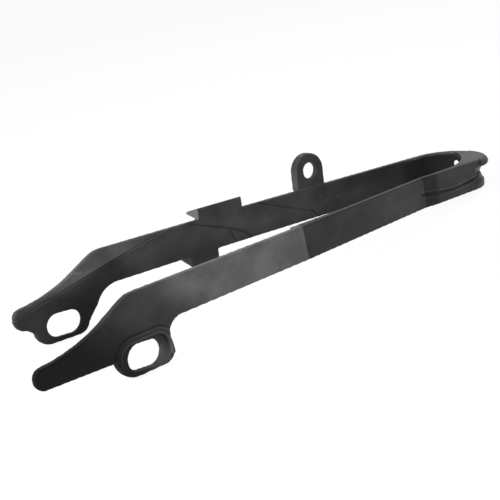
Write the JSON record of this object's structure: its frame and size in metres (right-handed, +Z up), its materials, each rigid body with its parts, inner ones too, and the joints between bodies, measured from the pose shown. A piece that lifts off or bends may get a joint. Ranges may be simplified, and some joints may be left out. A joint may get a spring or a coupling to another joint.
{
  "type": "chain slider",
  "caption": "Long moulded hairpin strip that wraps the front of a swingarm leg and guides the drive chain, with slotted mounting lugs, hooked guide tabs and a bored lug.",
  "frame": {"origin": "centre of the round lug's bore at the lug's inner face", "axes": "+X forward along the legs to the nose, +Y from the near leg to the far leg, +Z up; the part lies on its lugs and the front of its nose"},
  "size_m": [0.4594, 0.1167, 0.0633],
  "materials": {
    "moulded_plastic": "satin"
  },
  "bodies": {
    "root": {"chain_slider": "moulded_plastic"}
  },
  "joints": []
}
